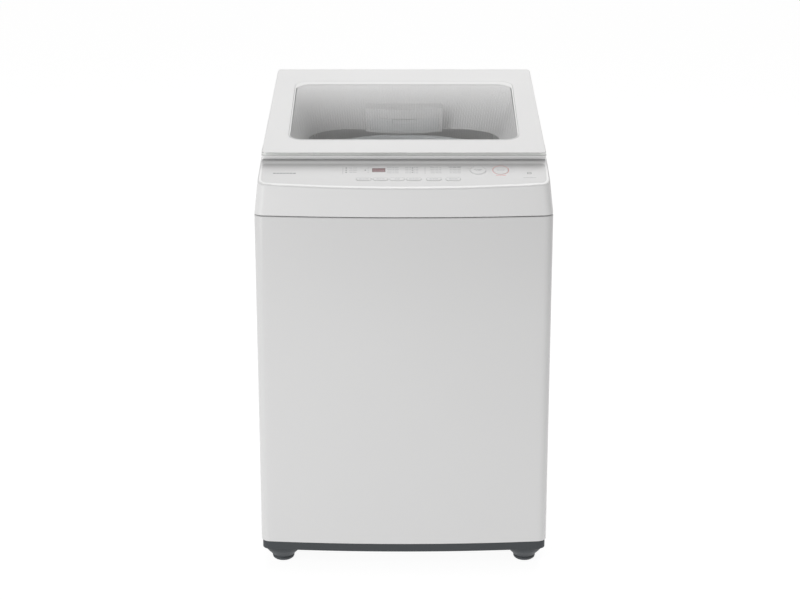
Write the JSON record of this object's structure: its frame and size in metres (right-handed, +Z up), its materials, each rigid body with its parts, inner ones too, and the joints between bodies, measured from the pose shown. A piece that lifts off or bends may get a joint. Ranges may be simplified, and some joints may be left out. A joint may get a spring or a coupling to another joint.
{
  "type": "top load washing machine",
  "caption": "Free-standing top load washing machine with a glass lid, a sloping control panel, a hanging tub with a spinning drum and pulsator, and a detergent drawer.",
  "frame": {"origin": "centre of the bounding box's bottom face, on the floor", "axes": "+Z up, -Y out of the front with the control panel, +X to the right as seen from the front"},
  "size_m": [0.54, 0.56, 0.8497],
  "materials": {
    "white_enamel": "smooth baked enamel, satin",
    "galvanised_steel": "galvanised, matt",
    "grey_plastic": "fine grained",
    "steel": "machined",
    "black_plastic": "matt",
    "white_plastic": "smooth, semi gloss",
    "panel_white": "smooth, semi gloss",
    "red_lens": "polished, tinted",
    "circuit_board": "lacquered",
    "glass": "tempered, printed with fading dots",
    "silver_trim": "brushed, bright",
    "rubber": "matt",
    "drawer_plastic": "smooth",
    "pulsator_plastic": "smooth",
    "drum_steel": "rolled stainless steel",
    "cast_aluminium": "as cast and turned",
    "motor_steel": "machined",
    "gear_plastic": "moulded acetal",
    "valve_plastic": "moulded"
  },
  "bodies": {
    "cabinet": {"cabinet_wrap": "white_enamel", "back_panel": "galvanised_steel", "base_frame": "grey_plastic", "rear_feet": "grey_plastic", "fasteners": "steel", "cable_gland": "black_plastic", "top_cover": "white_plastic", "control_panel": "panel_white", "display_window": "red_lens", "control_board": "circuit_board", "board_housing": "white_plastic", "lid_switch": "black_plastic", "detergent_housing": "white_plastic", "inlet_valve": "white_plastic", "inlet_hose": "rubber", "pressure_sensor": "white_plastic", "suspension_brackets": "galvanised_steel", "suspension_rods": "steel", "suspension_springs": "steel", "drain_hose": "rubber"},
    "left_foot": {"foot_left": "grey_plastic"},
    "right_foot": {"foot_right": "grey_plastic"},
    "lid": {"lid_frame": "white_plastic", "lid_inner_frame": "white_plastic", "lid_glass": "glass", "lid_trim": "silver_trim", "lid_bumpers": "rubber", "hinge_pins": "steel"},
    "drawer": {"detergent_drawer": "drawer_plastic"},
    "tub": {"outer_tub": "white_plastic", "tub_ring": "white_plastic", "tub_seal": "rubber", "damper_cups": "white_plastic", "shaft_bearings": "steel", "support_plate": "galvanised_steel", "motor_housing": "cast_aluminium", "drive_belt": "rubber", "drain_valve": "valve_plastic"},
    "drum": {"drum_shell": "drum_steel", "drum_base": "drawer_plastic", "balance_ring": "drawer_plastic", "lint_filters": "drawer_plastic", "spin_shaft": "cast_aluminium"},
    "wash_drive": {"pulsator": "pulsator_plastic", "wash_shaft": "steel"},
    "planet_gear_1": {"planet_1": "gear_plastic"},
    "planet_gear_2": {"planet_2": "gear_plastic"},
    "planet_gear_3": {"planet_3": "gear_plastic"},
    "pulley": {"drive_pulley": "cast_aluminium", "input_shaft": "steel"},
    "rotor": {"motor_rotor": "motor_steel"},
    "lever": {"clutch_lever": "galvanised_steel"},
    "button_1_key": {"button_1": "panel_white"},
    "button_2_key": {"button_2": "panel_white"},
    "button_3_key": {"button_3": "panel_white"},
    "button_4_key": {"button_4": "panel_white"},
    "button_5_key": {"button_5": "panel_white"},
    "button_6_key": {"button_6": "panel_white"},
    "start_button_key": {"start_button": "panel_white"},
    "power_button_key": {"power_button": "panel_white"}
  },
  "joints": [
    {"name": "lid_hinge", "type": "hinge", "parent": "cabinet", "child": "lid", "pos_m": [0, 0.26245, 0.83895], "axis": [-1, 0, 0], "range_deg": [0, 105]},
    {"name": "drawer_slide", "type": "slide", "parent": "cabinet", "child": "drawer", "axis": [0, -1, 0], "range_m": [0, 0.06]},
    {"name": "foot_left_screw", "type": "slide", "parent": "cabinet", "child": "left_foot", "axis": [0, 0, -1], "range_m": [0, 0.012]},
    {"name": "foot_right_screw", "type": "slide", "parent": "cabinet", "child": "right_foot", "axis": [0, 0, -1], "range_m": [0, 0.012]},
    {"name": "tub_float", "type": "slide", "parent": "cabinet", "child": "tub", "axis": [0, 0, 1], "range_m": [-0.02, 0.0015], "stiffness_N_per_m": 12000, "springref_m": 0.0184, "deforming": ["suspension_springs"]},
    {"name": "drum_spin", "type": "hinge", "parent": "tub", "child": "drum", "pos_m": [0, 0.004, 0.3], "axis": [0, 0, 1], "continuous": true},
    {"name": "pulley_spin", "type": "hinge", "parent": "drum", "child": "pulley", "pos_m": [0, 0.004, 0.08], "axis": [0, 0, 1], "continuous": true},
    {"name": "pulsator_spin", "type": "hinge", "parent": "drum", "child": "wash_drive", "pos_m": [0, 0.004, 0.2], "axis": [0, 0, 1], "continuous": true},
    {"name": "planet_1_spin", "type": "hinge", "parent": "wash_drive", "child": "planet_gear_1", "pos_m": [0.01875, 0.004, 0.124], "axis": [0, 0, 1], "continuous": true},
    {"name": "planet_2_spin", "type": "hinge", "parent": "wash_drive", "child": "planet_gear_2", "pos_m": [-0.00937, 0.02024, 0.124], "axis": [0, 0, 1], "continuous": true},
    {"name": "planet_3_spin", "type": "hinge", "parent": "wash_drive", "child": "planet_gear_3", "pos_m": [-0.00937, -0.01224, 0.124], "axis": [0, 0, 1], "continuous": true},
    {"name": "motor_spin", "type": "hinge", "parent": "tub", "child": "rotor", "pos_m": [0, 0.154, 0.1], "axis": [0, 0, 1], "continuous": true},
    {"name": "clutch_lever_pivot", "type": "hinge", "parent": "tub", "child": "lever", "pos_m": [0.08, 0.034, 0.126], "axis": [0, 0, 1], "range_deg": [0, 12], "stiffness_Nm_per_rad": 2, "springref_deg": -5.73},
    {"name": "button_1_press", "type": "slide", "parent": "cabinet", "child": "button_1_key", "axis": [0, 0.309, -0.9511], "range_m": [0, 0.0012], "stiffness_N_per_m": 400, "springref_m": -0.002},
    {"name": "button_2_press", "type": "slide", "parent": "cabinet", "child": "button_2_key", "axis": [0, 0.309, -0.9511], "range_m": [0, 0.0012], "stiffness_N_per_m": 400, "springref_m": -0.002},
    {"name": "button_3_press", "type": "slide", "parent": "cabinet", "child": "button_3_key", "axis": [0, 0.309, -0.9511], "range_m": [0, 0.0012], "stiffness_N_per_m": 400, "springref_m": -0.002},
    {"name": "button_4_press", "type": "slide", "parent": "cabinet", "child": "button_4_key", "axis": [0, 0.309, -0.9511], "range_m": [0, 0.0012], "stiffness_N_per_m": 400, "springref_m": -0.002},
    {"name": "button_5_press", "type": "slide", "parent": "cabinet", "child": "button_5_key", "axis": [0, 0.309, -0.9511], "range_m": [0, 0.0012], "stiffness_N_per_m": 400, "springref_m": -0.002},
    {"name": "button_6_press", "type": "slide", "parent": "cabinet", "child": "button_6_key", "axis": [0, 0.309, -0.9511], "range_m": [0, 0.0012], "stiffness_N_per_m": 400, "springref_m": -0.002},
    {"name": "start_button_press", "type": "slide", "parent": "cabinet", "child": "start_button_key", "axis": [0, 0.309, -0.9511], "range_m": [0, 0.0012], "stiffness_N_per_m": 400, "springref_m": -0.002},
    {"name": "power_button_press", "type": "slide", "parent": "cabinet", "child": "power_button_key", "axis": [0, 0.309, -0.9511], "range_m": [0, 0.0012], "stiffness_N_per_m": 400, "springref_m": -0.002}
  ],
  "couplings": [
    {"joint": "pulsator_spin", "follows": "pulley_spin", "ratio": 0.25},
    {"joint": "planet_1_spin", "follows": "pulley_spin", "ratio": -0.75},
    {"joint": "planet_2_spin", "follows": "pulley_spin", "ratio": -0.75},
    {"joint": "planet_3_spin", "follows": "pulley_spin", "ratio": -0.75},
    {"joint": "motor_spin", "follows": "pulley_spin", "ratio": 4}
  ]
}
